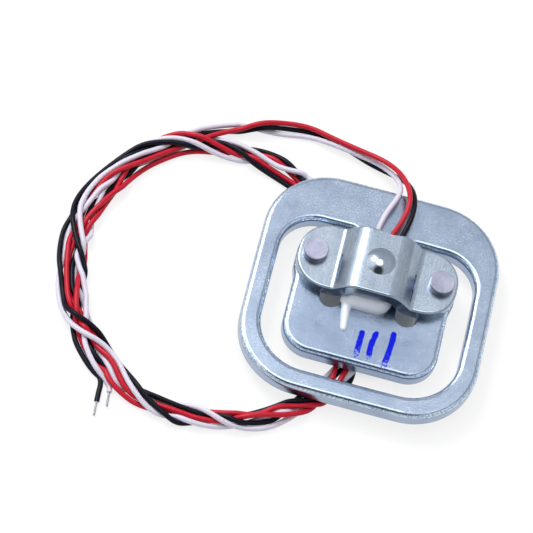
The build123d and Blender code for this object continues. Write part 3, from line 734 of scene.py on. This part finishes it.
# Zinc plated steel of the spring plate: a fine sparkle over a soft blue-grey, with painted shade on the
# tongue and a painted highlight along its rim
plateFinish = {
    "light": rgb(0.40, 0.48, 0.61),
    "dark": rgb(0.32, 0.40, 0.53),
    "cloud": (260, 4, 0.6),
    "cloudStops": ((0.3, 0.0), (0.7, 1.0)),
    "speck": (4300, 3, 0.75),
    "speckSpan": (0.32, 0.68),
    "speckle": (0.86, 1.0),
    "grain": (8000, 2, 0.6),
    "tongue": rgb(0.80, 0.82, 0.87),
    "tongueMiddle": (-0.5, -9.5, -4.9),
    "tongueReach": (6.0, 11.5),
    "rimHighlight": rgb(2.1, 2.1, 2.1),
    "rimHighlightTop": (-0.02, -0.09),  # below the plate's top
    "rimHighlightFoot": (-0.30, -0.50),
    "rimHighlightSpan": (0.38, 0.56),
    "rimHighlightSpecks": (0.15, 1.0),
    "roughness": 0.24,
    "roughByCloud": 0.12,
    "roughBySpeck": 0.16,
    "roughAlongRim": -0.06,
    "roughByInk": 0.25,
    "metalUnderInk": 0.3,
    "specular": 0.1,
    "bump": (0.3, 0.00003),
}


def platedSteel():
    paint = newPaint("platedSteel")
    look = plateFinish
    cloud = paint.noise(*look["cloud"])
    speck = paint.noise(*look["speck"])
    grain = paint.noise(*look["grain"])
    # Painted shade: the colour is darkened over the tongue, most near its middle
    away = paint.vector("DISTANCE", paint.place, Vector(look["tongueMiddle"]) * mm, out=1)
    near = paint.span(away, [reach * mm for reach in look["tongueReach"]], (1, 0))
    colour = paint.mix(paint.ramp(cloud, look["cloudStops"]), look["dark"], look["light"])
    colour = paint.mix(near, colour, paint.times(colour, look["tongue"]))
    colour = paint.times(colour, paint.span(speck, look["speckSpan"], look["speckle"]))
    height = paint.height()
    # Painted highlight: the colour is brightened in a band on the rounded top edge and broken up by the
    # specks, and the roughness drops there
    rimHighlight = paint.span(height, [plateTop + z * mm for z in look["rimHighlightTop"]])
    rimHighlight = rimHighlight * paint.span(height, [plateTop + z * mm for z in look["rimHighlightFoot"]], (1, 0))
    rimHighlight = rimHighlight * paint.span(speck, look["rimHighlightSpan"], look["rimHighlightSpecks"])
    colour = paint.mix(rimHighlight, colour, paint.times(colour, look["rimHighlight"]))
    inked = inkMask(paint)
    colour = paint.mix(inked, colour, ink["colour"])
    rough = look["roughness"] + look["roughByCloud"] * (cloud - 0.5) + look["roughBySpeck"] * (speck - 0.5)
    rough = rough + look["roughAlongRim"] * rimHighlight + look["roughByInk"] * inked
    return paint.finish(Base_Color=colour, Metallic=1 - look["metalUnderInk"] * inked, Roughness=rough,
                        Specular_IOR_Level=look["specular"], Normal=paint.bump(grain + speck, *look["bump"]))


# Shinier plating of the bent bracket, with faint drawing lines and a polished load button
sheetFinish = {
    "light": rgb(0.45, 0.53, 0.63),
    "dark": rgb(0.37, 0.45, 0.56),
    "cloud": (300, 3, 0.6),
    "cloudStops": ((0.3, 0.0), (0.7, 1.0)),
    "speck": (4600, 3, 0.7),
    "speckStops": ((0.3, 0.86), (0.55, 1.0)),
    "drawn": (1.0, 3, 0.6),
    "drawnStretch": (5200, 420, 1600),
    "drawnStops": ((0.35, 0.80), (0.6, 1.0)),
    "drawnShare": 0.5,
    "roughness": 0.25,
    "roughByCloud": 0.1,
    "roughBySpeck": 0.1,
    "polish": 0.13,
    "buttonReach": (1.9, 2.15),
    "bump": (0.14, 0.00004),
}


def platedSheet():
    paint = newPaint("platedSheet")
    look = sheetFinish
    cloud = paint.noise(*look["cloud"])
    speck = paint.noise(*look["speck"])
    drawn = paint.noise(*look["drawn"], place=paint.vector("MULTIPLY", paint.place, look["drawnStretch"]))
    colour = paint.mix(paint.ramp(cloud, look["cloudStops"]), look["dark"], look["light"])
    colour = paint.times(colour, paint.ramp(speck, look["speckStops"]))
    lined = paint.times(colour, paint.ramp(drawn, look["drawnStops"]))
    colour = paint.mix(look["drawnShare"], colour, lined)
    fromCrown = paint.vector("LENGTH", paint.vector("MULTIPLY", paint.place, (1, 1, 0)), out=1)
    button = paint.span(fromCrown, [reach * mm for reach in look["buttonReach"]], (1, 0))
    rough = look["roughness"] + look["roughByCloud"] * (cloud - 0.5) + look["roughBySpeck"] * (speck - 0.5)
    rough = rough * (1 - button) + look["polish"] * button
    return paint.finish(Base_Color=colour, Metallic=1.0, Roughness=rough,
                        Normal=paint.bump(speck + drawn, *look["bump"]))


rivetFinish = {
    "light": rgb(0.39, 0.40, 0.51),
    "dark": rgb(0.31, 0.32, 0.42),
    "cloud": (900, 3, 0.6),
    "cloudStops": ((0.35, 0.0), (0.65, 1.0)),
    "grain": (5200, 3, 0.7),
    "grainStops": ((0.3, 0.8), (0.6, 1.0)),
    "roughness": 0.36,
    "roughByCloud": 0.1,
    "bump": (0.35, 0.00005),
}


def rivetSteel():
    paint = newPaint("rivetSteel")
    look = rivetFinish
    cloud = paint.noise(*look["cloud"])
    grain = paint.noise(*look["grain"])
    colour = paint.mix(paint.ramp(cloud, look["cloudStops"]), look["dark"], look["light"])
    colour = paint.times(colour, paint.ramp(grain, look["grainStops"]))
    rough = look["roughness"] + look["roughByCloud"] * (cloud - 0.5)
    return paint.finish(Base_Color=colour, Metallic=1.0, Roughness=rough,
                        Normal=paint.bump(grain, *look["bump"]))


insulationFinish = {
    "white": {"light": rgb(0.68, 0.64, 0.75), "dark": rgb(0.58, 0.55, 0.66), "specular": 0.3},
    "red": {"light": rgb(0.54, 0.008, 0.030), "dark": rgb(0.42, 0.006, 0.022), "specular": 0.25},
    "black": {"light": rgb(0.005, 0.006, 0.014), "dark": rgb(0.003, 0.003, 0.008), "specular": 0.14},
    "cloud": (700, 3, 0.6),
    "grain": (5000, 2, 0.5),
    "roughness": 0.36,
    "roughByCloud": 0.1,
    "bump": (0.2, 0.00003),
}


def insulation(colour):
    paint = newPaint(colour + "Insulation")
    look = insulationFinish
    own = look[colour]
    cloud = paint.noise(*look["cloud"])
    grain = paint.noise(*look["grain"])
    rough = look["roughness"] + look["roughByCloud"] * (cloud - 0.5)
    return paint.finish(Base_Color=paint.mix(cloud, own["dark"], own["light"]), Roughness=rough,
                        Specular_IOR_Level=own["specular"], Normal=paint.bump(grain, *look["bump"]))


siliconeFinish = {
    "light": rgb(0.80, 0.84, 0.92),
    "dark": rgb(0.66, 0.73, 0.83),
    "cloud": (500, 3, 0.6),
    "roughness": 0.26,
    "subsurface": 0.4,
    "scatter": (0.6, 0.7, 0.8),
    "scatterScale": 0.0008,
    "bump": (0.25, 0.0001),
}


def silicone():
    paint = newPaint("silicone")
    look = siliconeFinish
    cloud = paint.noise(*look["cloud"])
    return paint.finish(Base_Color=paint.mix(cloud, look["dark"], look["light"]), Roughness=look["roughness"],
                        Subsurface_Weight=look["subsurface"], Subsurface_Radius=look["scatter"],
                        Subsurface_Scale=look["scatterScale"], Normal=paint.bump(cloud, *look["bump"]))


tinFinish = {
    "light": rgb(0.52, 0.52, 0.57),
    "dark": rgb(0.38, 0.38, 0.42),
    "cloud": (3000, 2, 0.6),
    "roughness": 0.5,
}


def tinned():
    paint = newPaint("tinned")
    look = tinFinish
    colour = paint.mix(paint.noise(*look["cloud"]), look["dark"], look["light"])
    return paint.finish(Base_Color=colour, Metallic=1.0, Roughness=look["roughness"])


def dressAll():
    dress(nodes["spring_plate"], platedSteel())
    dress(nodes["bridge_bracket"], platedSheet())
    head = rivetSteel()
    for rivet in rivets:
        dress(rivet, head)
    dress(siliconePiece, silicone())
    bare = tinned()
    for name in ("gauge_foil", "white_solder_joint", "red_solder_joint", "black_solder_joint"):
        dress(nodes[name], bare)
    for tip in tips:
        dress(tip, bare)
    dress(nodes["gauge_carrier"], silicone())
    for colour, wire in wires.items():
        dress(wire, insulation(colour))


dressAll()
print("finishes laid")

# A pale floor that shows white to the camera and keeps the shadows. It shines less near the cell, a painted
# shadow under it.
floorLook = {
    "size": 3.0,
    "below": 0.02,
    "white": rgb(0.9, 0.9, 0.9),
    "shine": 0.8,
    "shineInPaintedShadow": 0.06,
    "paintedShadowMiddle": (0, -3),
    "paintedShadowReach": (6, 12),
}


def layFloor():
    level = floorLevel - floorLook["below"] * mm
    shape = bmesh.new()
    bmesh.ops.create_grid(shape, x_segments=1, y_segments=1, size=floorLook["size"],
                          matrix=Matrix.Translation((0, 0, level)))
    floor = pieceOf(shape, "floor")
    paint = newPaint("floor")
    rays = [paint.add("ShaderNodeLightPath", out="Is " + ray + " Ray")
            for ray in ("Camera", "Glossy", "Transmission")]
    # Painted shadow: the floor's white glow fades out under the cell, so that its real shade shows only there
    x, y = floorLook["paintedShadowMiddle"]
    centre = paint.vector("DISTANCE", paint.place, (x * mm, y * mm, level), out=1)
    away = paint.span(centre, [reach * mm for reach in floorLook["paintedShadowReach"]],
                      (floorLook["shineInPaintedShadow"], floorLook["shine"]))
    share = (rays[0] + rays[1] + rays[2]) * away
    shadowed = paint.add("ShaderNodeBsdfDiffuse", {"Color": floorLook["white"]})
    white = paint.add("ShaderNodeEmission", {"Color": rgb(1, 1, 1), "Strength": 1.0})
    dress(floor, paint.end(paint.add("ShaderNodeMixShader", {0: share, 1: shadowed, 2: white})))


# A pale room with two soft boxes, one at the left and one overhead, and the dark round the camera.
# Each has its direction, the cosines between which it fades in, and its light.
studio = {
    "boxes": [((-0.66, 0.25, 0.70), (0.78, 0.95), 0.7), ((-0.06, 0.17, 0.98), (0.955, 0.99), 3.4)],
    "dark": ((0.0, -0.47, 0.88), (0.88, 0.965), 0.06),
    "heights": (0, 0.8),
    "room": (0.56, 0.72),
}


def towards(paint, direction, edge):
    facing = paint.vector("DOT_PRODUCT", paint.place, Vector(direction).normalized(), out=1)
    return paint.span(facing, edge)


def lightStudio():
    paint = Paint(bpy.data.worlds.new("studio"), "Generated")
    scene.world = paint.owner
    level = paint.span(paint.height(), studio["heights"], studio["room"])
    for direction, edge, light in studio["boxes"]:
        level = level + towards(paint, direction, edge) * light
    direction, edge, light = studio["dark"]
    dark = towards(paint, direction, edge)
    level = level * (1 - dark) + dark * light
    seen = paint.add("ShaderNodeLightPath", out="Is Camera Ray")
    level = level * (1 - seen) + seen
    paint.end(paint.add("ShaderNodeBackground", {0: rgb(1, 1, 1), 1: level}), "ShaderNodeOutputWorld")


keyLamp = {
    "place": (-260, 220, 420),
    "size": 160,
    "power": 1.5,
}


def hangLamp():
    lamp = bpy.data.lights.new("key", "AREA")
    lamp.shape = "SQUARE"
    lamp.size = keyLamp["size"] * mm
    lamp.energy = keyLamp["power"]
    fitting = linked("key", lamp)
    fitting.location = Vector(keyLamp["place"]) * mm
    fitting.rotation_euler = (-fitting.location).to_track_quat("-Z", "Y").to_euler()


layFloor()
lightStudio()
hangLamp()
scene.view_settings.view_transform = "Standard"
print("studio lit")
